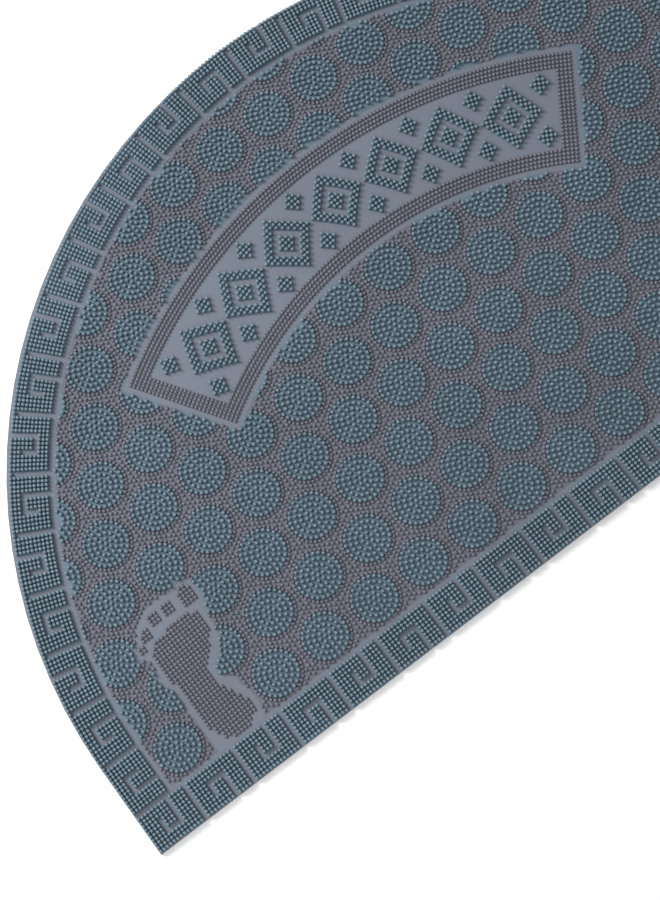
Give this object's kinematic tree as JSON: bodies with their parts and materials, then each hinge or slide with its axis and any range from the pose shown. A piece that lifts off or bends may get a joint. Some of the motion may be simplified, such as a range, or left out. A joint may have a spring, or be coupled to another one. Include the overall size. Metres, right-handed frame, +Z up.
{
  "type": "half-round doormat",
  "caption": "Half-round moulded rubber pin doormat with a Greek-key border, a field of round pin clusters, a curved banner and two footprints.",
  "frame": {"origin": "on the floor, under the middle of the mat's width and depth", "axes": "+X along the straight edge, +Y from the straight edge towards the crown of the arc, +Z up out of the pins"},
  "size_m": [0.75, 0.45, 0.006],
  "materials": {
    "rubber": "matt moulded rubber, slate blue"
  },
  "bodies": {
    "root": {"mat": "rubber"}
  },
  "joints": []
}
